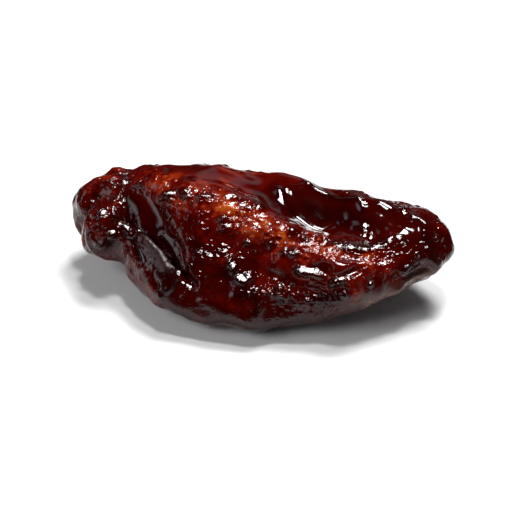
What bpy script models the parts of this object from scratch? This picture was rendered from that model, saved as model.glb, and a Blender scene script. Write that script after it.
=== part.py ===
"""A glazed chicken wing flat, lying on its belly as it is served: the middle joint of the wing,
cooked whole, so that its two bones and their muscle stay wrapped in one skin.

The long axis is X, from the knuckle end (-X) to the round end (+X). The back (+Y) is the thick,
nearly straight edge along the larger bone, and the front (-Y) is the thin, bulging edge.
"""

import math
from collections import namedtuple

import bpy
from mathutils import Vector, noise

# The whole piece, in metres.
LENGTH = 0.090

# How finely the skin is faceted, along and round.
RINGS = 88
SIDES = 52

# How far in from each end the flesh starts to close to a dome.
KNUCKLE_DOME = 0.0075
ROUND_DOME = 0.0150

# One cross-section: where it is as a share of the length, its width and height, the side step of its
# middle towards the back, the gap between its underside and the table, and how much the back edge
# outgrows the front edge in thickness.
Section = namedtuple("Section", "along width height step lift taper")
SECTIONS = (
    Section(0.00, 0.0130, 0.0120, 0.0036, 0.0062, 0.05),
    Section(0.08, 0.0198, 0.0160, 0.0050, 0.0052, 0.08),
    Section(0.15, 0.0240, 0.0185, 0.0046, 0.0038, 0.14),
    Section(0.23, 0.0322, 0.0216, 0.0013, 0.0012, 0.22),
    Section(0.33, 0.0388, 0.0236, -0.0011, -0.0008, 0.28),
    Section(0.45, 0.0386, 0.0234, -0.0016, -0.0014, 0.30),
    Section(0.55, 0.0373, 0.0228, -0.0011, -0.0014, 0.30),
    Section(0.65, 0.0328, 0.0208, -0.0016, -0.0004, 0.28),
    Section(0.75, 0.0314, 0.0197, -0.0002, 0.0014, 0.22),
    Section(0.85, 0.0278, 0.0176, 0.0024, 0.0036, 0.15),
    Section(1.00, 0.0170, 0.0118, 0.0044, 0.0080, 0.10),
)
# Below 1 squares the sections off a little, as flesh that lies on a table does.
FULLNESS = 0.88

# A swelling or hollow of the flesh: its middle, its reach along, across and down, the turn of its
# long direction about Z in degrees, and how far it pushes the surface out.
Swell = namedtuple("Swell", "name x y z along across down turn out")
SWELLS = (
    Swell("knuckle_front", -0.0370, -0.0055, 0.0125, 0.0042, 0.0038, 0.0050, 10, 0.0032),
    Swell("knuckle_back", -0.0425, 0.0050, 0.0140, 0.0036, 0.0036, 0.0044, 0, 0.0024),
    Swell("knuckle_cleft", -0.0410, -0.0006, 0.0160, 0.0045, 0.0016, 0.0060, 25, -0.0026),
    Swell("neck_of_knuckle", -0.0305, -0.0020, 0.0200, 0.0024, 0.0070, 0.0050, 20, -0.0016),
    Swell("small_bone_ridge", -0.0010, -0.0040, 0.0220, 0.0230, 0.0042, 0.0070, -16, 0.0030),
    Swell("groove_between_bones", 0.0140, 0.0032, 0.0215, 0.0105, 0.0036, 0.0060, -16, -0.0034),
    Swell("large_bone_ridge", 0.0100, 0.0120, 0.0215, 0.0170, 0.0030, 0.0060, -10, 0.0016),
    Swell("dip_before_round_end", 0.0280, 0.0110, 0.0200, 0.0032, 0.0050, 0.0050, 0, -0.0014),
    Swell("front_crease", -0.0225, -0.0085, 0.0150, 0.0080, 0.0019, 0.0065, -56, -0.0042),
    Swell("front_flap", -0.0262, -0.0125, 0.0090, 0.0085, 0.0026, 0.0050, -48, 0.0026),
    Swell("second_crease", -0.0290, -0.0105, 0.0110, 0.0060, 0.0015, 0.0050, -50, -0.0016),
    Swell("front_shoulder", 0.0180, -0.0125, 0.0160, 0.0080, 0.0034, 0.0036, -4, 0.0020),
    Swell("belly_front", 0.0020, -0.0175, 0.0080, 0.0140, 0.0040, 0.0060, 6, 0.0010),
    Swell("hollow_under_round_end", 0.0290, -0.0090, 0.0030, 0.0110, 0.0050, 0.0040, 15, -0.0020),
    Swell("round_end_knob", 0.0370, 0.0040, 0.0170, 0.0044, 0.0056, 0.0060, 0, 0.0012),
    Swell("underside_hollow", 0.0000, 0.0060, 0.0000, 0.0200, 0.0030, 0.0030, -4, -0.0012),
)

# The soft unevenness of cooked skin: the size of its waves, and their height.
WAVE_SIZE = 0.0110
WAVE_HEIGHT = 0.0009
PUCKER_SIZE = 0.0045
PUCKER_HEIGHT = 0.0004
NOISE_PLACE = Vector((3.7, 1.9, 8.2))


def between_sections(along):
    """The section at a share of the length, on smooth curves through the named ones."""
    after = next((i for i, s in enumerate(SECTIONS) if s.along > along), len(SECTIONS) - 1)
    before = after - 1
    last = len(SECTIONS) - 1
    four = [SECTIONS[min(max(i, 0), last)] for i in range(before - 1, before + 3)]
    p = (along - four[1].along) / (four[2].along - four[1].along)
    values = []
    for a, b, c, d in zip(*four):
        values.append(
            b + 0.5 * p * (c - a + p * (2 * a - 5 * b + 4 * c - d + p * (3 * (b - c) + d - a)))
        )
    return Section(*values)


def dome(along):
    """How far a section has closed: 1 along the body, falling to 0 at each end as a quarter circle."""
    x = along * LENGTH
    shut = max(1 - x / KNUCKLE_DOME, 1 - (LENGTH - x) / ROUND_DOME, 0)
    return math.sqrt(max(1 - shut * shut, 0))


def skin_point(along, angle):
    """A point of the plain body, at a share of its length and an angle round its section."""
    s = between_sections(along)
    close = dome(along)
    across, up = math.cos(angle), math.sin(angle)
    across = math.copysign(abs(across) ** FULLNESS, across)
    up = math.copysign(abs(up) ** FULLNESS, up)
    half_height = s.height / 2 * (1 + s.taper * across)
    middle = s.lift + half_height
    centre = s.lift + s.height / 2
    z = centre + (middle - centre) * close + half_height * up * close
    return Vector((along * LENGTH - LENGTH / 2, s.step + s.width / 2 * across * close, z))


def ring_places():
    """Shares of the length for the rings, closer together where the ends close."""
    for i in range(1, RINGS):
        even = i / RINGS
        yield 0.55 * even + 0.45 * (1 - math.cos(math.pi * even)) / 2


def body_mesh(name):
    """The closed skin: rings of points joined by quads, with a fan of triangles at each end."""
    points = [skin_point(0, 0)]
    for along in ring_places():
        points += [skin_point(along, 2 * math.pi * j / SIDES) for j in range(SIDES)]
    points.append(skin_point(1, 0))
    last = len(points) - 1
    faces = []
    for j in range(SIDES):
        k = (j + 1) % SIDES
        faces.append((0, 1 + k, 1 + j))
        for i in range(RINGS - 2):
            row, above = 1 + i * SIDES, 1 + (i + 1) * SIDES
            faces.append((row + j, row + k, above + k, above + j))
        faces.append((last - SIDES + j, last - SIDES + k, last))
    mesh = bpy.data.meshes.new(name)
    mesh.from_pydata(points, [], faces)
    return mesh


def swell(point, form):
    """How far a swelling pushes the skin out at a point."""
    turn = math.radians(form.turn)
    dx, dy, dz = point.x - form.x, point.y - form.y, point.z - form.z
    along = (dx * math.cos(turn) + dy * math.sin(turn)) / form.along
    across = (dy * math.cos(turn) - dx * math.sin(turn)) / form.across
    down = dz / form.down
    return form.out * math.exp(-(along * along + across * across + down * down) / 2)


def shape_flesh(mesh):
    """Pushes the skin out over bone and muscle, in along the grooves, and leaves it uneven."""
    normals = [v.normal.copy() for v in mesh.vertices]
    for vertex, normal in zip(mesh.vertices, normals):
        point = vertex.co.copy()
        out = sum(swell(point, form) for form in SWELLS)
        out += WAVE_HEIGHT * noise.noise(point / WAVE_SIZE + NOISE_PLACE)
        out += PUCKER_HEIGHT * noise.noise(point / PUCKER_SIZE + NOISE_PLACE)
        moved = point + normal * out
        # The belly settles flat on the table.
        moved.z = max(moved.z, 0)
        vertex.co = moved


def centre_on_box(mesh):
    """Slides the whole so that its box has its middle over the origin."""
    for axis in (0, 1):
        places = [v.co[axis] for v in mesh.vertices]
        middle = (min(places) + max(places)) / 2
        for vertex in mesh.vertices:
            vertex.co[axis] -= middle


def cooked_skin():
    """The look the part is filed with; the glaze itself is drawn in the scene."""
    material = bpy.data.materials.new("glazed_skin")
    material.use_nodes = True
    shader = material.node_tree.nodes["Principled BSDF"]
    shader.inputs["Base Color"].default_value = (0.12, 0.012, 0.006, 1)
    shader.inputs["Roughness"].default_value = 0.18
    return material


def main():
    for obj in list(bpy.data.objects):
        bpy.data.objects.remove(obj)
    mesh = body_mesh("wing_flat")
    shape_flesh(mesh)
    centre_on_box(mesh)
    mesh.update()
    mesh.shade_smooth()
    mesh.materials.append(cooked_skin())
    wing = bpy.data.objects.new("wing_flat", mesh)
    bpy.context.scene.collection.objects.link(wing)


main()
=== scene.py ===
"""A glazed chicken wing flat on a pale studio table: the cooked joint, the sauce that coats it, the
table with its pale surround, the soft lights and the camera."""

import math

import bpy
import numpy as np
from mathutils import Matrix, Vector, kdtree, noise


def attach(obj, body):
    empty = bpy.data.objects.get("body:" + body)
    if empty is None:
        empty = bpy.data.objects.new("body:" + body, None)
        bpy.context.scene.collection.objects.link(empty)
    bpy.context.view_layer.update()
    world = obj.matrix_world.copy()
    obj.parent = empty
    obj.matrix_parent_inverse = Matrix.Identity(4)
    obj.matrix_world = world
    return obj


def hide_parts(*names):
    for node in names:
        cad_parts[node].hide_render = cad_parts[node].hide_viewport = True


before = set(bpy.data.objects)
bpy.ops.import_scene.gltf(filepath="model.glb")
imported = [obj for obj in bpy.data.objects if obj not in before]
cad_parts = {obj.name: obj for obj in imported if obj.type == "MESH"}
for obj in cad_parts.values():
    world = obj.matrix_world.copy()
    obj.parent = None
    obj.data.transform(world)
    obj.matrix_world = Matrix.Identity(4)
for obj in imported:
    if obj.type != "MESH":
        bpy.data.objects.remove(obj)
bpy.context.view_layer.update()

# The cooked wing: skin over meat and two bones, browned where it stands proud and pocked with the
# bumps that feathers leave. It is made from the plain solid, which is cut finely enough to carry
# every fold and bump in the mesh itself.

MM = 0.001
FINENESS = 0.338 * MM

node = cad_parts["wing_flat"]
wing = bpy.data.objects.new("glazed_wing", node.data.copy())
bpy.context.scene.collection.objects.link(wing)
bpy.context.view_layer.objects.active = wing
remesh = wing.modifiers.new("even_cells", "REMESH")
remesh.mode = "VOXEL"
remesh.voxel_size = FINENESS
bpy.ops.object.modifier_apply(modifier=remesh.name)

mesh = wing.data
count = len(mesh.vertices)
skin = np.empty(count * 3)
mesh.vertices.foreach_get("co", skin)
skin = skin.reshape(-1, 3)
edges = np.empty(len(mesh.edges) * 2, dtype=np.int64)
mesh.edges.foreach_get("vertices", edges)
edges = edges.reshape(-1, 2)
ends = np.concatenate([edges[:, 0], edges[:, 1]])
others = np.concatenate([edges[:, 1], edges[:, 0]])
valence = np.bincount(ends, minlength=count)


def neighbour_mean(values):
    """For every point, the mean of a number or vector over the points it shares an edge with."""
    if values.ndim == 1:
        return np.bincount(ends, values[others], count) / valence
    return np.stack([neighbour_mean(values[:, axis]) for axis in range(3)], axis=1)


def spread(values, rounds):
    """A number or vector, smoothed over the surface a given number of times."""
    for _ in range(rounds):
        values = 0.5 * values + 0.5 * neighbour_mean(values)
    return values


corners = np.empty(len(mesh.loops), dtype=np.int64)
mesh.loops.foreach_get("vertex_index", corners)
starts = np.empty(len(mesh.polygons), dtype=np.int64)
mesh.polygons.foreach_get("loop_start", starts)
quads = np.stack([corners[starts + k] for k in range(4)], axis=1)


def outward(points):
    """The outward direction of the surface at every point."""
    a, b, c, d = (points[quads[:, k]] for k in range(4))
    face = np.cross(c - a, d - b)
    total = np.stack(
        [
            sum(np.bincount(quads[:, k], face[:, axis], count) for k in range(4))
            for axis in range(3)
        ],
        axis=1,
    )
    return total / np.linalg.norm(total, axis=1, keepdims=True)


def waves(points, size, seed, detail=1):
    """Soft noise between about -1 and 1, with waves of a given size."""
    shift = Vector((seed * 7.13, seed * 3.71, seed * 5.39))
    found = np.empty(len(points))
    for i, point in enumerate(points):
        place = Vector(point) / size + shift
        value = noise.noise(place)
        if detail > 1:
            value += 0.5 * noise.noise(place * 2.1 + shift)
        if detail > 2:
            value += 0.25 * noise.noise(place * 4.3 + shift)
        found[i] = value
    return found


def nearest_on(points, line):
    """For every point, the nearest place on a line of places, and how far off it is."""
    place = np.repeat(line[:1], len(points), axis=0)
    gap = np.linalg.norm(points - place, axis=1)
    for start, end in zip(line, line[1:]):
        way = end - start
        share = np.clip((points - start) @ way / (way @ way), 0, 1)
        here = start + share[:, None] * way
        off = np.linalg.norm(points - here, axis=1)
        place = np.where((off < gap)[:, None], here, place)
        gap = np.minimum(gap, off)
    return place, gap


def near_line(points, line, reach):
    """1 on a line of places in mm, falling off smoothly to nothing over a reach in mm."""
    gap = nearest_on(points, np.array(line) * MM)[1]
    return np.exp(-((gap / (reach * MM)) ** 2))


# The facets of the plain solid are smoothed away.
skin = spread(skin, 24)

# Wrinkles of the skin, each along a line of places in mm: how wide it is, and how deep it goes in, or
# how far it stands out where that is negative.
WRINKLES = (
    (((-30, -2, 18), (-27, -4.5, 17), (-21.5, -8, 15.5), (-16, -12.5, 14), (-11.5, -17, 12.5)), 1.1, 2.6),
    (((-27, -5.6, 16.5), (-23, -9.5, 15), (-19, -12, 14), (-17.6, -17, 11)), 1.1, -0.9),
    (((-28.5, -6.6, 15), (-25, -10.5, 14), (-21.8, -14, 13), (-19.8, -17.2, 10)), 0.9, 1.3),
    (((-17, -8, 17.5), (-12, -12, 15.5), (-8, -16.5, 12.5)), 1.0, 0.5),
    (((-21, -4.5, 20), (-15, -8.5, 18), (-10.5, -12.5, 16)), 0.9, -0.4),
    (((-38.5, -1, 20), (-39.5, -2.5, 16), (-40.2, -3.5, 12)), 1.3, 1.3),
    (((-31.5, 8, 22.5), (-32, 3, 21), (-31, -2, 18.5)), 1.3, 0.9),
    (((-35, 4, 21.5), (-37, 2, 19.5), (-38, -1, 18.5)), 0.8, 0.6),
    (((1, -13, 16), (6, -13.5, 15), (12, -13.4, 13.5), (19, -13.2, 13.2)), 1.1, 0.5),
    (((26, 5, 20), (27.5, 1, 19.5), (27, -3, 18.5)), 1.1, 0.6),
    (((31, -6.5, 17), (35, -4.8, 16), (39, -1.6, 16)), 0.9, -0.5),
    (((29, -9, 13), (34, -6.5, 13), (39.5, -3.5, 13.5)), 0.9, 0.8),
    (((-37, 10, 19), (-38.5, 6, 20), (-39.5, 2.5, 19), (-41, -1, 16)), 1.0, 0.8),
    (((-33.5, -8.5, 15), (-35, -9.5, 12), (-35, -9, 9)), 1.0, 0.8),
    (((-43, 6, 17), (-44, 4, 13), (-43.5, 1, 10)), 1.0, 0.7),
    (((-25, 12, 20), (-22, 9, 24), (-20, 5, 25)), 0.9, 0.6),
    (((28, 8, 21), (31, 6, 21.5), (32, 2, 20)), 0.9, 0.5),
)

facing = outward(skin)
bend = np.stack([waves(skin, 6 * MM, seed) for seed in (1, 2, 3)], axis=1) * 1.3 * MM
for line, width, depth in WRINKLES:
    skin = skin - facing * (near_line(skin + bend, line, width) * depth * MM)[:, None]
skin = spread(skin, 2)

# Where the skin has crisped into bumps, as lines of places in mm with a reach.
RIDGE = ((-27, 7, 24.5), (-19, 0.5, 25), (-12, -0.5, 25.5), (-6, -2.5, 24), (2, -5.5, 22), (9, -8, 20), (19, -6.5, 19.3), (29, -6.3, 18))
FRONT_EDGE = ((6, -15.2, 12.7), (13.5, -15.8, 10.6), (19.7, -14.9, 11.5), (23.2, -14, 12.7))
crisp = np.maximum(near_line(skin + bend, RIDGE, 3.6), 0.75 * near_line(skin + bend, FRONT_EDGE, 2.0))
crisp = np.maximum(crisp, 0.6 * near_line(skin + bend, ((28, -6.3, 18), (29, -6, 18)), 2.0))
crisp = crisp * (1 - 0.5 * near_line(skin, ((24.5, -7, 18.8), (30, -5, 18.3)), 3.0))
crisp = np.clip(crisp * (0.9 + 0.9 * waves(skin, 3.2 * MM, 8, 2)), 0, 1)

# Where the skin shows through almost bare: a place in mm, a reach, and how bare it is.
BARE = (
    ((-6.6, -2.0, 24.4), 2.7, 1.0), ((-9.5, 1.2, 25.6), 2.2, 0.45), ((-15, 5, 26), 2.4, 0.45),
    ((-21.5, 7.5, 25), 2.0, 0.35), ((2, -3.2, 23.2), 2.2, 0.55), ((8.5, -5.8, 21.8), 2.4, 0.7),
    ((13.5, -8.6, 18.8), 2.6, 0.3), ((28, -6.3, 18), 1.8, 0.2), ((17, -7.0, 19.6), 1.6, 0.3),
    ((-13, -3.5, 23), 1.8, 0.3), ((-10, -18.9, 10), 2.0, 0.35), ((-1, 8, 25), 3.5, 0.3), ((-9, 8, 25.5), 3.5, 0.4),
    ((0.5, -7.5, 20), 2.0, 0.25),
)
bare = np.zeros(count)
for place, reach, share in BARE:
    bare = np.maximum(bare, share * near_line(skin + 0.6 * bend, (place,), reach))
bare *= 0.85 + 0.5 * waves(skin, 1.8 * MM, 12, 2)

# Feather bumps: a seeded scatter over the skin, no two closer than their spacing.
random = np.random.default_rng(11)
order = random.permutation(count)
SPACING = 1.45 * MM
taken = {}
roots = []
for i in order:
    cell = tuple((skin[i] // SPACING).astype(int))
    near = (
        taken.get((cell[0] + a, cell[1] + b, cell[2] + c))
        for a in (-1, 0, 1)
        for b in (-1, 0, 1)
        for c in (-1, 0, 1)
    )
    if all(j is None or np.sum((skin[i] - skin[j]) ** 2) > SPACING**2 for j in near):
        taken[cell] = i
        roots.append(i)
tree = kdtree.KDTree(len(roots))
for number, i in enumerate(roots):
    tree.insert(skin[i], number)
tree.balance()
size = random.uniform(0.42, 0.80, len(roots)) * MM
height = random.uniform(0.05, 0.50, len(roots)) * MM
bumps = np.zeros(count)
nearest = np.zeros(count, dtype=np.int64)
for i, point in enumerate(skin):
    for _, number, gap in reversed(tree.find_n(point, 2)):
        bumps[i] += height[number] * math.exp(-((gap / size[number]) ** 2))
        nearest[i] = number

# The groove behind the ridge is smooth, because the sauce stands deepest there. So is the long strip of
# skin behind it, and the hollow between the ridge's left end and the folds.
POOL = ((4.5, 6, 22), (9, 5, 21), (14, 6.5, 20), (21, 5, 19.5))
BACK_STRIP = ((-20, 10, 24), (-10, 9.5, 25), (0, 10.5, 24.5), (6, 12, 24))
LEFT_HOLLOW = ((-28, 1.5, 19.8), (-24.5, -1.2, 19))
calm = near_line(skin + bend, POOL, 4.2)
smooth = np.maximum(near_line(skin + bend, BACK_STRIP, 3.6), 0.8 * near_line(skin + bend, LEFT_HOLLOW, 2.6))
END_HOLLOW = ((27.0, 5.6, 21.5), (31.0, 5.0, 21.2), (35.0, 3.0, 20.6))
POOL_EDGE = ((8.8, 4.5, 21.4), (10.5, 2.0, 20.8), (14, 1.6, 19.4))
smooth = np.maximum(smooth, 0.75 * near_line(skin, END_HOLLOW, 3.6))
smooth = np.maximum(smooth, 0.9 * near_line(skin, POOL_EDGE, 2.6))
smooth = np.maximum(calm, smooth)
FOLD_CREST = ((-24.3, -7.5, 17.4), (-22, -10, 17), (-20.2, -11.9, 16.4), (-18.4, -14, 15.7), (-17.3, -15, 15.2))
tips = np.clip((np.abs(skin[:, 0]) - 24 * MM) / (10 * MM), 0, 1) * np.where(skin[:, 0] < 0, 1, 0.35)
facing = outward(skin)
steep = np.clip(1 - np.abs(facing[:, 2]) / 0.7, 0, 1)
rear = np.clip(facing[:, 1] * 1.6, 0, 1)
grit = 0.5 - np.abs(waves(skin, 1.5 * MM, 14, 2))
rough = crisp**1.5
relief = (
    bumps * (0.42 + 0.80 * crisp) * (1 - 0.6 * rear)
    + grit * 0.32 * rough * MM
    + waves(skin, 0.95 * MM, 4, 2) * (0.03 + 0.20 * rough) * MM
    + waves(skin, 2.6 * MM, 9) * (0.26 + 0.35 * tips + 0.12 * steep) * (1 - 0.5 * rear) * MM
    + waves(skin, 5.0 * MM, 5) * (0.75 + 0.80 * tips + 0.6 * steep) * MM
    + waves(skin, 2.2 * MM, 16) * 0.5 * near_line(skin, FOLD_CREST, 2.4) * MM
) * (1 - 0.88 * smooth)

# The sauce: how thick it would lie on smooth skin, in mm. It has run off the ridge, filled the groove
# and the folds, and gathered along the lower edges and at both ends.
FOLDS = ((-30, -3, 18), (-21.5, -9, 15), (-13, -16, 12.5))
ROUND_END = ((30, 2, 20), (38, 2, 18.5), (41, 1, 16))
KNUCKLE = ((-36, -6, 15), (-41, 2, 15.5))
HOLLOW = ((-29.4, 2.8, 20.4), (-26.7, -0.6, 19.0), (-23.2, -2.4, 18.4))
amount = (
    0.30
    + 0.60 * calm
    + 0.50 * near_line(skin, HOLLOW, 3.2)
    + 0.30 * near_line(skin, FOLDS, 4.5)
    + 0.25 * near_line(skin, ROUND_END, 7)
    + 0.14 * near_line(skin, KNUCKLE, 6)
    + 0.20 * np.clip(-facing[:, 2], 0, 1)
    + 0.16 * waves(skin, 5.5 * MM, 6, 2)
    + 0.10 * waves(skin, 2.4 * MM, 7)
    - 0.30 * crisp
    - 0.45 * bare
)
amount = np.clip(amount, -0.1, 1.4)
level = spread(relief, 14) + amount * MM
film = (0.17 - 0.05 * crisp - 0.14 * bare) * MM
gap = level - (relief + film)
soft = 0.07 * MM
top = relief + film + 0.5 * (gap + np.sqrt(gap * gap + soft * soft))
top = spread(top, 2)

# Where the sauce has run and set in rolls, as lines of places in mm, with a reach and a height, and
# in rounded gouts, which are lines of one place.
ROLLS = (
    (((-21.0, -12.3, 15.6),), 3.0, 0.6),
    (((-28.5, -6.0, 17.0),), 2.5, -0.35),
    (((14.3, 6.0, 18.5), (15.5, 0.2, 19.8)), 0.6, 0.25),
    (((9.9, 12.5, 23.5), (11.9, 11.7, 22.7), (15.1, 10.7, 22.1), (18.3, 9.7, 21.9), (21, 9.8, 22.5), (22.4, 9.5, 22.7), (23.9, 7.3, 21.8)), 0.9, 0.5),
    (((33.2, 7.5, 22.4), (34.6, 6.7, 22.3), (37.3, 6.0, 21.5), (38.8, 5.2, 20.7), (38.9, 3.3, 19.9), (39.9, 0.5, 17.9)), 0.8, 0.5),
    (((38.9, -1.1, 17.2), (37.4, -3.5, 16.0), (35.8, -5.8, 15.2)), 1.0, 0.45),
    (((41.5, -0.1, 16.3), (42.2, -0.9, 14.3), (41.7, -1.4, 12.3), (37.8, -4.9, 12.5), (34.6, -7.8, 11.5)), 1.1, 0.6),
    (((-3.2, -12.1, 16.3), (-2.5, -13.9, 15.0), (-0.4, -15.3, 13.7), (0.8, -14.7, 14.0)), 1.2, 0.8),
    (((-36.5, -1.6, 19.2), (-36.8, -3.2, 18.4)), 0.9, 0.5),
    (((-39.1, -5.7, 13.5), (-38.7, -5.9, 11.9), (-37.5, -6.3, 11.0)), 0.9, 0.4),
    (((-30.4, -3.6, 17.3), (-28.6, -5.0, 16.3)), 1.2, 0.7),
    (((-27.4, -6.6, 16.3), (-25.0, -9.2, 15.6), (-21.6, -11.4, 14.6), (-18.5, -13.8, 13.4)), 2.0, 0.5),
    (((-17.8, -14.2, 13.2), (-17.2, -16.6, 11.6), (-18.4, -17.9, 9.1)), 1.3, 0.7),
    (((-21.8, 0.6, 23.6), (-20.0, 0.9, 24.6)), 1.0, 0.5),
    (((-17.9, 1.5, 25.3), (-16.4, -0.2, 24.9)), 0.9, 0.5),
    (((-12.9, -0.7, 25.3), (-10.9, 0.4, 25.6)), 0.8, 0.4),
    (((-20.7, -2.0, 21.8), (-19.3, -3.3, 21.3)), 0.8, 0.5),
    (((-1.1, -17.5, 11.8), (2.5, -16.7, 12.0), (4.2, -17.9, 10.4), (3.7, -19.4, 8.2)), 1.3, 0.6),
    (((8.3, -9.1, 18.6), (10.1, -8.6, 19.0), (12.0, -8.9, 18.6)), 1.0, 0.6),
    (((-9.1, -19.6, 9.2), (-5.8, -19.7, 8.9), (-2.7, -20.2, 7.4)), 1.3, 0.4),
    (((-15, -17.5, 6.5), (-7, -19, 5.6), (4, -18.6, 5.4), (13, -16.2, 6.2), (22, -13.2, 8.2), (30, -9.4, 10)), 2.2, 0.7),
    (((19.1, 5.1, 18.6),), 1.0, 0.5),
    (((9.9, -5.0, 21.7),), 1.3, 0.6),
    (((12.6, -6.3, 20.8),), 0.9, 0.5),
    (((28.9, -11.5, 14.3),), 1.0, 0.5),
    (((23.2, -14.1, 12.7),), 1.2, 0.7),
    (((8.4, -15.1, 12.2),), 1.0, 0.6),
    (((-33.1, -5.3, 15.9),), 1.4, 0.7),
    (((-35.8, -6.6, 14.0),), 0.9, 0.5),
    (((-18.7, -5.5, 19.8),), 1.1, 0.6),
    (((0.9, 1.0, 23.7),), 1.2, 0.6),
    (((-7.0, -4.3, 22.7),), 1.1, 0.5),
    (((-6.3, -5.8, 21.2),), 1.0, 0.5),
    (((-16.2, 5.9, 25.9),), 0.9, 0.4),
    (((-27.1, 7.4, 24.2),), 0.9, 0.5),
    (((-28.8, 5.6, 22.7),), 0.9, 0.5),
    (((-33.1, -2.5, 18.7),), 1.0, 0.5),
    (((-12.4, -13.9, 15.4),), 0.9, 0.5),
    (((-11.5, -11.3, 17.5),), 0.8, 0.4),
    (((-5.7, -10.7, 17.2),), 0.8, 0.4),
    (((24.5, 3.6, 19.5),), 2.2, 0.7),
    (((27.5, -4.5, 18.6),), 1.5, -0.5),
)
wander = bend * 0.35
for line, reach, rise in ROLLS:
    top += near_line(skin + wander, line, reach) * rise * MM

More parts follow.
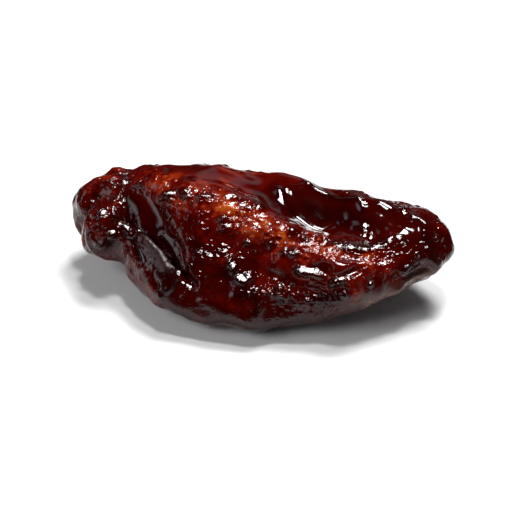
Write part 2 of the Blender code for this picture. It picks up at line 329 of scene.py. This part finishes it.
# Where a side of the sauce has set flat: a line of places in mm, the reach round it, how round it is
# across (as a radius), how far it stands up, and how much of the fine relief still shows in it. One
# that is nearly flat across follows its line, and a rounder one is a single small facet. The grains
# are crisp bits of skin that stand out of the front edge.
# Shelves are where it has stopped on its way down, with its upper side nearly level. Flanks are sides
# of the rolls and of the knuckle. The others are longer slopes, from the ridge down to the front edge.
SHELF = np.array((0.194, -0.226, 0.955))
FLANK = np.array((-0.39, -0.62, 0.68))
DROP = np.array((0.06, -0.78, 0.62))
EDGE = np.array((0.10, -0.58, 0.81))
SLOPE = np.array((0.15, -0.55, 0.82))
LEFT_SLOPE = np.array((-0.20, -0.45, 0.87))
RIGHT_FLANK = np.array((0.57, -0.55, 0.61))
SET_SIDES = (
    (DROP, ((11, -13.6, 14.6), (17, -13.6, 14.8), (23, -13.0, 14.9)), 1.6, 60, 0, 0.4),
    (EDGE, ((7, -15.4, 12.2), (12, -15.6, 11.9), (17, -15.2, 12.0), (22, -14.2, 12.8)), 1.8, 60, 0.2, 0.9),
    (LEFT_SLOPE, ((-29.5, 3.2, 20.6), (-26.7, -0.2, 19.2), (-23.8, -2.2, 18.6)), 3.0, 60, 0.1, 0.25),
    (LEFT_SLOPE, ((-33.9, 7.0, 21.6), (-33.3, 4.0, 21.2)), 1.6, 30, 0, 0.5),
    (LEFT_SLOPE, ((-34.7, -1.4, 20.0),), 1.4, 30, 0, 0.5),
    (SLOPE, ((-9.5, -9.4, 18.4), (-5.8, -10.6, 17.5)), 2.0, 30, 0, 0.6),
    (SLOPE, ((21.5, -7.4, 19.0), (25.5, -6.6, 18.8), (30.6, -4.6, 18.2)), 2.6, 60, 0, 0.5),
    (EDGE, ((27.6, 7.6, 22.5), (29.6, 6.4, 21.9), (34.9, 3.8, 21.2)), 2.2, 60, 0, 0.3),
    (EDGE, ((9.6, 6.4, 20.6), (12.4, 5.2, 19.4), (15.4, 4.6, 18.4)), 3.0, 60, 0, 0),
    (EDGE, ((31.5, -2.8, 18.8), (36.2, -1.8, 18.5), (38.6, -0.2, 18.2)), 2.3, 60, 0, 0.3),
    (FLANK, ((-36.4, -6.4, 15), (-35.4, -6.8, 14)), 2.0, 8, 0.2, 0.6),
    (RIGHT_FLANK, ((38.9, -1.8, 16.9), (37.4, -3.6, 15.9), (35.4, -6.0, 14.8)), 0.9, 12, 0.4, 0),
    (FLANK, ((-26.8, -6.4, 16.4), (-24.3, -9.4, 15.6)), 1.2, 6, 0.3, 0.2),
    (FLANK, ((-21.8, -10.4, 14.8), (-19.7, -12.6, 14.0)), 1.4, 8, 0.3, 0.2),
    (FLANK, ((-18.0, -13.9, 13.2), (-17.2, -16.6, 11.6), (-18.6, -18.0, 9.5)), 1.0, 4, 0.4, 0.2),
    (FLANK, ((-20.7, -5.2, 17.4), (-17.6, -9.4, 16.2), (-14.4, -14.1, 14.3)), 1.3, 8, 0.2, 0.3),
    (FLANK, ((-28.0, -6.2, 17.0), (-24.3, -9.3, 16.7), (-21.6, -12.3, 15.4)), 2.1, 60, -0.2, 0.1),
    (FLANK, ((-21.6, -12.3, 15.4), (-18.9, -15.4, 14.2), (-17.6, -17.4, 11.4)), 1.6, 60, 0.1, 0.1),
    (SHELF, ((12.8, -12.2, 16.4), (15.3, -12.5, 16.8), (18.4, -12.2, 17.4)), 1.4, 14, -0.1, 0.2),
    (SHELF, ((17.6, -12.3, 17.2),), 1.8, 18, 0, 0.2),
    (SHELF, ((20.6, -14.3, 15.4), (23.0, -13.2, 16.9), (25.7, -11.2, 17.8)), 1.1, 9, 0, 0.2),
    (SHELF, ((-3.0, -12.2, 16.3), (-2.4, -13.8, 15.1)), 0.9, 5, 0.2, 0.2),
    (SHELF, ((-1.4, -14.9, 14.2), (0.4, -15.2, 13.8)), 1.2, 8, 0.3, 0.1),
    (SHELF, ((23.3, -14.7, 13.5),), 1.3, 9, 0.3, 0.2),
    (SHELF, ((29.3, -11.9, 14.7),), 0.8, 6, 0.2, 0.2),
    (SHELF, ((-33.0, -5.2, 16.1),), 1.5, 9, 0.3, 0.2),
    (SHELF, ((-30.5, -3.9, 17.2), (-28.8, -5.2, 16.6)), 1.5, 9, 0.2, 0.1),
    (SHELF, ((-20.9, 0.9, 24.2), (-19.5, 0.9, 24.6)), 1.0, 6, 0.2, 0.8),
    (SHELF, ((-18.8, -5.5, 19.8),), 0.9, 5, 0.2, 0.4),
    (SHELF, ((10.3, -9.6, 19.2), (12.2, -9.4, 19.0)), 0.8, 6, 0.2, 0.5),
    (SHELF, ((5.3, -8.1, 20.1),), 1.1, 6, 0.3, 0.5),
    (SHELF, ((0.0, -7.8, 19.5),), 1.1, 6, 0.35, 0.5),
    (SHELF, ((3.8, 9.4, 23.0), (5.2, 6.2, 22.6), (6.5, 4.2, 21.9), (8.2, 1.8, 21.2)), 1.2, 5, 0.2, 0),
    (SHELF, ((19.5, 4.9, 18.7),), 0.8, 6, 0.1, 0),
    (SHELF, ((40.1, 0.0, 17.9),), 0.9, 6, 0.2, 0.1),
    (SHELF, ((34.1, 7.2, 22.4), (33.2, 8.6, 22.4)), 0.9, 6, 0.2, 0.3),
)
GRAINS = (
    (6.6, -16.4, 12.1), (7.4, -15.0, 12.8), (8.1, -14.3, 13.2), (9.0, -16.6, 11.1), (9.9, -16.4, 11.5),
    (11.5, -16.9, 10.6), (12.9, -15.2, 12.1), (13.1, -16.2, 11.2), (14.7, -16.6, 10.7), (16.1, -15.8, 11.2),
    (17.6, -15.4, 11.4), (18.7, -14.5, 12.7), (19.3, -15.5, 11.7), (20.9, -15.7, 12.0), (21.6, -14.7, 13.3),
    (23.4, -14.2, 14.0), (10.6, -14.9, 12.6), (15.0, -14.8, 12.4), (17.0, -14.0, 13.3), (11.8, -13.9, 13.6),
)
GRAIN_SIDES = tuple((SHELF, (place,), 0.62, 3, 0.3, 0.1) for place in GRAINS)
poured = top
for way, line, reach, radius, lift, kept in SET_SIDES + GRAIN_SIDES:
    way = way / np.linalg.norm(way)
    rim = []
    for place in line:
        off = np.linalg.norm(skin - np.array(place) * MM, axis=1)
        i = np.argmin(off)
        stand = np.average(top, weights=np.exp(-((off / (1.3 * MM)) ** 2))) + lift * MM
        rim.append(skin[i] + facing[i] * stand)
    broad = spread(top, 10)
    place, gap = nearest_on(skin + facing * broad[:, None] + wander, np.array(rim))
    if radius < 30:
        place = np.mean(rim, axis=0)
    flat = np.sum((place - skin) * way, axis=1)
    flat = flat / np.clip(facing @ way, 0.35, 1)
    span = np.linalg.norm(np.array(line[-1]) - np.array(line[0]))
    most = (0.8 * reach + 0.08 * span) * MM
    flat = np.clip(flat, broad - most, broad + most) - gap**2 / (2 * radius * MM)
    share = np.exp(-((gap / (reach * MM)) ** (4 if radius < 30 else 2))) * (facing @ way > 0)
    top = top + share * (flat + kept * (top - broad) - top)

# Small gouts and bumps that stand with their upper sides level, most of them where the skin is crisp.
SPECKS = ((7, -15, 12.4), (9.5, -15.9, 11), (14, -16, 10.5), (19, -15.5, 11.5), (23, -14, 13.4))
band = near_line(skin, SPECKS, 2.2)
speckled = np.clip(0.22 + 0.8 * crisp + 1.2 * band + 0.3 * tips - 0.9 * smooth, 0, 0.85)
chosen = random.uniform(0, 1, len(roots)) < speckled[roots]
off = skin - skin[roots][nearest]
away = np.linalg.norm(off, axis=1)
most = (0.32 + 0.6 * band) * MM
tilt = -(off @ SHELF) / np.clip(facing @ SHELF, 0.3, 1) - away**2 / (2 * 4 * MM)
wide = 0.75 * size[nearest] + (0.10 + 0.12 * band) * MM
share = chosen[nearest] * np.exp(-((away / wide) ** 4)) * np.clip((facing @ SHELF - 0.35) * 5, 0, 1)
top = top + share * (spread(top, 3)[roots][nearest] + 0.08 * MM + np.clip(tilt, -most, most) - top)
top = top + 0.7 * (1 - band) * (spread(top, 1) - top)
depth = np.maximum(poured - relief + np.maximum(top - poured, 0), 0.02 * MM)
depth = 0.45 * depth + 0.55 * spread(depth, 3)

# The sauce's colour is made darker over the middle of the front; its shape is left as it is.
DARKENED = ((-15, -8, 19), (-11, -11.5, 17.2), (-8, -14.5, 14.6), (-3, -13.5, 15.5))
depth += 0.50 * near_line(skin + bend, DARKENED, 5.0) * (0.7 + waves(skin, 3.5 * MM, 15, 2)) * MM

surface = skin + facing * (top - 0.45 * MM)[:, None]
surface = spread(surface, 1)
still = np.clip(1.7 * smooth + 0.45 * tips * (1 - band) - 0.6 * crisp, 0, 1)[:, None]
surface = surface + still * (spread(surface, 8) - surface)

# It lies on the table, so nothing of it passes below.
surface[:, 2] = np.maximum(surface[:, 2], 0)
mesh.vertices.foreach_set("co", surface.ravel())
mesh.update()
mesh.shade_smooth()
mesh.materials.clear()


def keep_on_mesh(mesh, name, values):
    """Stores a number for every point, for the material to read."""
    layer = mesh.attributes.new(name, "FLOAT", "POINT")
    layer.data.foreach_set("value", values.astype(np.float32))


keep_on_mesh(mesh, "sauce_depth", depth / MM)
keep_on_mesh(mesh, "crisped", crisp)
# Under the round end the skin is paler and rougher; the pale colour is partly painted light, standing in for the
# white table's bounce and reflection there.
UNDER_END = ((42, -0.5, 12.6), (39, -3.4, 11.2), (36, -6, 10.4), (32.5, -8.6, 10.4), (28.5, -11.5, 9.6))
pale = near_line(surface, UNDER_END, 1.9) * np.clip(0.9 + 0.5 * waves(skin, 1.6 * MM, 17, 2), 0, 1)
keep_on_mesh(mesh, "pale", pale)
keep_on_mesh(mesh, "dried", near_line(surface, FOLD_CREST, 2.0))
studded = 1.4 * band + 0.42 * crisp + 0.25 * tips + 0.30
keep_on_mesh(mesh, "studded", np.clip(studded - smooth, 0, 1.2))


class Socket:
    """A socket of a material's nodes. Sums and products of sockets add the Math nodes for them."""

    def __init__(self, look, link):
        self.look, self.link = look, link

    def math(self, operation, *values):
        return self.look.node("Math", {"operation": operation}, dict(enumerate(values)))

    def __add__(self, other):
        return self.math("ADD", self, other)

    __radd__ = __add__

    def __sub__(self, other):
        return self.math("SUBTRACT", self, other)

    def __rsub__(self, other):
        return self.math("SUBTRACT", other, self)

    def __mul__(self, other):
        return self.math("MULTIPLY", self, other)

    __rmul__ = __mul__

    def __truediv__(self, other):
        return self.math("DIVIDE", self, other)

    def __pow__(self, other):
        return self.math("POWER", self, other)

    def between(self, low, high):
        """0 below one value and 1 above the other, smooth in between."""
        return self.look.node(
            "MapRange",
            {"interpolation_type": "SMOOTHSTEP"},
            {"Value": self, "From Min": low, "From Max": high},
        )


class Look:
    """A material in the making."""

    def __init__(self, name):
        self.material = bpy.data.materials.new(name)
        self.material.use_nodes = True
        self.tree = self.material.node_tree
        self.tree.nodes.clear()

    def node(self, kind, settings=None, inputs=None, output=0):
        """Adds a node: its settings first, then the values or links of its sockets."""
        made = self.tree.nodes.new("ShaderNode" + kind)
        for name, value in (settings or {}).items():
            if name == "stops":
                ramp = made.color_ramp
                while len(ramp.elements) < len(value):
                    ramp.elements.new(1)
                for element, (place, colour) in zip(ramp.elements, value):
                    element.position = place
                    element.color = (*colour, 1)
            else:
                setattr(made, name, value)
        for name, value in (inputs or {}).items():
            if isinstance(value, Socket):
                self.tree.links.new(value.link, made.inputs[name])
            else:
                made.inputs[name].default_value = value
        return Socket(self, made.outputs[output])

    def mix(self, share, one, two, blend="MIX"):
        """A colour between two others."""
        colours = [c if isinstance(c, Socket) else (*c, 1) for c in (one, two)]
        return self.node(
            "Mix",
            {"data_type": "RGBA", "blend_type": blend},
            {0: share, 6: colours[0], 7: colours[1]},
            output=2,
        )

    def finish(self, shader):
        self.tree.links.new(shader.link, self.tree.nodes.new("ShaderNodeOutputMaterial").inputs[0])
        return self.material


# The sauce's colour comes from how deep it lies: amber over browned skin where it is thin, then
# mahogany, then nearly black.
look = Look("sauced_skin")
place = look.node("TexCoord", output=3)
sauce = look.node("Attribute", {"attribute_name": "sauce_depth"}, output=2)
crisped = look.node("Attribute", {"attribute_name": "crisped"}, output=2)
blotch = look.node("TexNoise", {}, {"Vector": place, "Scale": 160, "Detail": 4, "Roughness": 0.6})
grain = look.node("TexNoise", {}, {"Vector": place, "Scale": 1400, "Detail": 3, "Roughness": 0.6})
shade = sauce * (0.7 + 0.6 * blotch) + (grain - 0.5) * 0.035
colour = look.node(
    "ValToRGB",
    {
        "stops": (
            (0.00, (0.50, 0.115, 0.012)),
            (0.06, (0.36, 0.054, 0.006)),
            (0.13, (0.19, 0.013, 0.002)),
            (0.22, (0.090, 0.0020, 0.0005)),
            (0.42, (0.037, 0.0007, 0.0003)),
            (1.00, (0.015, 0.0004, 0.0003)),
        )
    },
    {"Fac": shade},
)
# Paler, rougher skin under the round end; its pale colour is partly painted light from the white table's bounce and
# reflection.
pale = look.node("Attribute", {"attribute_name": "pale"}, output=2)
colour = look.mix(pale * 0.8, colour, (0.150, 0.085, 0.065))
fine = look.node("TexNoise", {}, {"Vector": place, "Scale": 1500, "Detail": 2, "Roughness": 0.5})
studded = look.node("Attribute", {"attribute_name": "studded"}, output=2)
dried = look.node("Attribute", {"attribute_name": "dried"}, output=2)
studs = look.node("TexNoise", {}, {"Vector": place, "Scale": 950, "Detail": 1}).between(0.5, 0.74)
height = fine * (0.04 + 0.96 * crisped) + studs * studded * 1.8
bump = look.node("Bump", {}, {"Strength": 0.8, "Distance": 0.00016, "Height": height})
shader = look.node(
    "BsdfPrincipled",
    {},
    {
        "Base Color": colour,
        "Roughness": 0.12 - 0.06 * sauce.between(0.05, 0.3) + 0.40 * dried + 0.25 * pale,
        "IOR": 1.37,
        "Normal": bump,
    },
)
mesh.materials.append(look.finish(shader))

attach(wing, "root")
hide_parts("wing_flat")

# The table: a white top with a pale wall all round it that curves up out of it. The wall is kept out
# of the sauce's reflections, which show only the table, the lights and the dark of the studio.

FLAT_REACH = 1.1
WALL_REACH = 1.6
WALL_HEIGHT = 0.9
TURNS = 72


def turned(name, profile):
    """A surface turned round the upright axis from a profile of reaches and heights."""
    points, faces = [], []
    for r, z in profile:
        for j in range(TURNS):
            turn = 2 * math.pi * j / TURNS
            points.append((r * math.cos(turn), r * math.sin(turn), z))
    for j in range(TURNS):
        k = (j + 1) % TURNS
        for i in range(len(profile) - 1):
            row, outer = i * TURNS, (i + 1) * TURNS
            faces.append((row + j, outer + j, outer + k, row + k))
    made = bpy.data.meshes.new(name)
    made.from_pydata(points, [], faces)
    made.shade_smooth()
    piece = bpy.data.objects.new(name, made)
    bpy.context.scene.collection.objects.link(piece)
    return piece


rise = []
for i in range(13):
    turn = math.pi / 2 * i / 12
    reach = FLAT_REACH + (WALL_REACH - FLAT_REACH) * math.sin(turn)
    rise.append((reach, WALL_HEIGHT * (1 - math.cos(turn))))
table = turned("table", [(0.001, 0), (0.05, 0), (0.2, 0), (FLAT_REACH, 0)])
wall = turned("pale_wall", rise)
wall.visible_glossy = False
wall.visible_diffuse = False
look = Look("white_card")
card = look.finish(
    look.node(
        "BsdfPrincipled",
        {},
        {"Base Color": (0.88, 0.88, 0.88, 1), "Roughness": 0.6, "Specular IOR Level": 0.2},
    )
)
table.data.materials.append(card)
wall.data.materials.append(card)

# The studio lights: a soft box high behind the right shoulder of the wing, and a weaker, broader one
# from the left, with a little even light from the dark room.


def soft_box(name, azimuth, elevation, away, width, height, power):
    """An area light that faces the wing; azimuth 0 is behind it, and turns towards +X."""
    light = bpy.data.lights.new(name, "AREA")
    light.shape = "RECTANGLE"
    light.size, light.size_y = width, height
    light.energy = power
    lamp = bpy.data.objects.new(name, light)
    bpy.context.scene.collection.objects.link(lamp)
    a, e = math.radians(azimuth), math.radians(elevation)
    way = Vector((math.sin(a) * math.cos(e), math.cos(a) * math.cos(e), math.sin(e)))
    lamp.location = way * away
    lamp.rotation_euler = way.to_track_quat("Z", "Y").to_euler()
    return lamp


soft_box("key_box", 18, 62, 2.0, 0.78, 0.54, 40).visible_glossy = False
soft_box("shine_box", 18, 62, 1.9, 0.60, 0.43, 64).visible_diffuse = False
soft_box("top_box", 20, 82, 1.6, 0.28, 0.20, 10)
soft_box("fill_box", -135, 40, 1.6, 0.9, 0.7, 10).visible_glossy = False


def soft_cloth(name, azimuth, elevation, width, height, glow):
    """A cloth that glows softly, brightest in its middle, and shows only in the sauce."""
    mesh = bpy.data.meshes.new(name)
    x, y = width / 2, height / 2
    mesh.from_pydata([(-x, -y, 0), (x, -y, 0), (x, y, 0), (-x, y, 0)], [], [(0, 1, 2, 3)])
    cloth = bpy.data.objects.new(name, mesh)
    bpy.context.scene.collection.objects.link(cloth)
    a, e = math.radians(azimuth), math.radians(elevation)
    way = Vector((math.sin(a) * math.cos(e), math.cos(a) * math.cos(e), math.sin(e)))
    cloth.location = way * 1.6
    cloth.rotation_euler = way.to_track_quat("Z", "Y").to_euler()
    look = Look(name)
    place = look.node("TexCoord", output=3)
    out = look.node("VectorMath", {"operation": "MULTIPLY"}, {0: place, 1: (1 / x, 1 / y, 0)})
    out = look.node("VectorMath", {"operation": "LENGTH"}, {0: out}, output=1)
    strength = glow * (1 - out.between(0.15, 1.0))
    mesh.materials.append(
        look.finish(look.node("Emission", {}, {"Color": (0.93, 0.96, 1, 1), "Strength": strength}))
    )
    cloth.visible_camera = False
    cloth.visible_diffuse = False
    cloth.visible_shadow = False


soft_cloth("left_cloth", -104, 34, 2.0, 0.95, 2.7)
soft_cloth("back_cloth", 0, 26, 1.1, 0.9, 0.5)
soft_cloth("right_cloth", 108, 26, 0.8, 0.5, 1.2)
soft_cloth("edge_cloth", 100, 31, 0.34, 0.24, 7)
soft_cloth("high_cloth", -45, 57, 0.7, 0.4, 1.3)

# A low strip of grey card, bent round the front and both ends out of the camera's sight, takes the
# place of the bright table in the lower edges of the sauce.
points = []
for i in range(33):
    turn = math.radians(75 + 175 * i / 32)
    for height in (0.001, 0.032):
        points.append((0.092 * math.sin(turn), 0.062 * math.cos(turn), height))
faces = [(2 * i, 2 * i + 2, 2 * i + 3, 2 * i + 1) for i in range(32)]
card_mesh = bpy.data.meshes.new("low_card")
card_mesh.from_pydata(points, [], faces)
card_mesh.shade_smooth()
low_card = bpy.data.objects.new("low_card", card_mesh)
bpy.context.scene.collection.objects.link(low_card)
look = Look("low_card")
place = look.node("TexCoord", output=3)
up = look.node("SeparateXYZ", {}, {0: place}, output=2)
right = look.node("SeparateXYZ", {}, {0: place}, output=0).between(0.03, 0.08)
glow = (0.42 + 0.3 * right) * (1 - up.between(0.001, 0.024))
card_mesh.materials.append(
    look.finish(look.node("Emission", {}, {"Color": (1, 0.97, 0.95, 1), "Strength": glow}))
)
low_card.visible_camera = False
low_card.visible_diffuse = False
low_card.visible_shadow = False

# Two low black flags behind the wing, out of the camera's sight, keep the bright table out of the
# sauce on its far side.
for name, azimuth in (("left_flag", -46), ("right_flag", 44)):
    half, low, high = 0.045, 0.001, 0.040
    flag_mesh = bpy.data.meshes.new(name)
    flag_mesh.from_pydata([(-half, 0, low), (half, 0, low), (half, 0, high), (-half, 0, high)], [], [(0, 1, 2, 3)])
    flag = bpy.data.objects.new(name, flag_mesh)
    bpy.context.scene.collection.objects.link(flag)
    a = math.radians(azimuth)
    flag.location = (0.085 * math.sin(a), 0.065 * math.cos(a), 0)
    flag.rotation_euler = (0, 0, -a)
    look = Look("black_flag")
    flag_mesh.materials.append(
        look.finish(look.node("BsdfPrincipled", {}, {"Base Color": (0.01, 0.01, 0.01, 1), "Roughness": 0.9}))
    )
    flag.visible_camera = False
    flag.visible_diffuse = False
    flag.visible_shadow = False

world = bpy.data.worlds.new("dark_room")
world.use_nodes = True
world.node_tree.nodes["Background"].inputs["Color"].default_value = (0.9, 0.95, 1, 1)
world.node_tree.nodes["Background"].inputs["Strength"].default_value = 0.08
world.cycles_visibility.glossy = False
bpy.context.scene.world = world

# The camera looks down on the wing from the front, a little to its right.

AIM = Vector((0, 0, 0.010))
camera_data = bpy.data.cameras.new("camera")
camera_data.lens = 180
camera = bpy.data.objects.new("camera", camera_data)
bpy.context.scene.collection.objects.link(camera)
a, e = math.radians(11), math.radians(36)
back = Vector((math.sin(a) * math.cos(e), -math.cos(a) * math.cos(e), math.sin(e)))
camera.location = AIM + back * 0.6
camera.rotation_euler = back.to_track_quat("Z", "Y").to_euler()
bpy.context.scene.camera = camera
bpy.context.scene.view_settings.view_transform = "Standard"
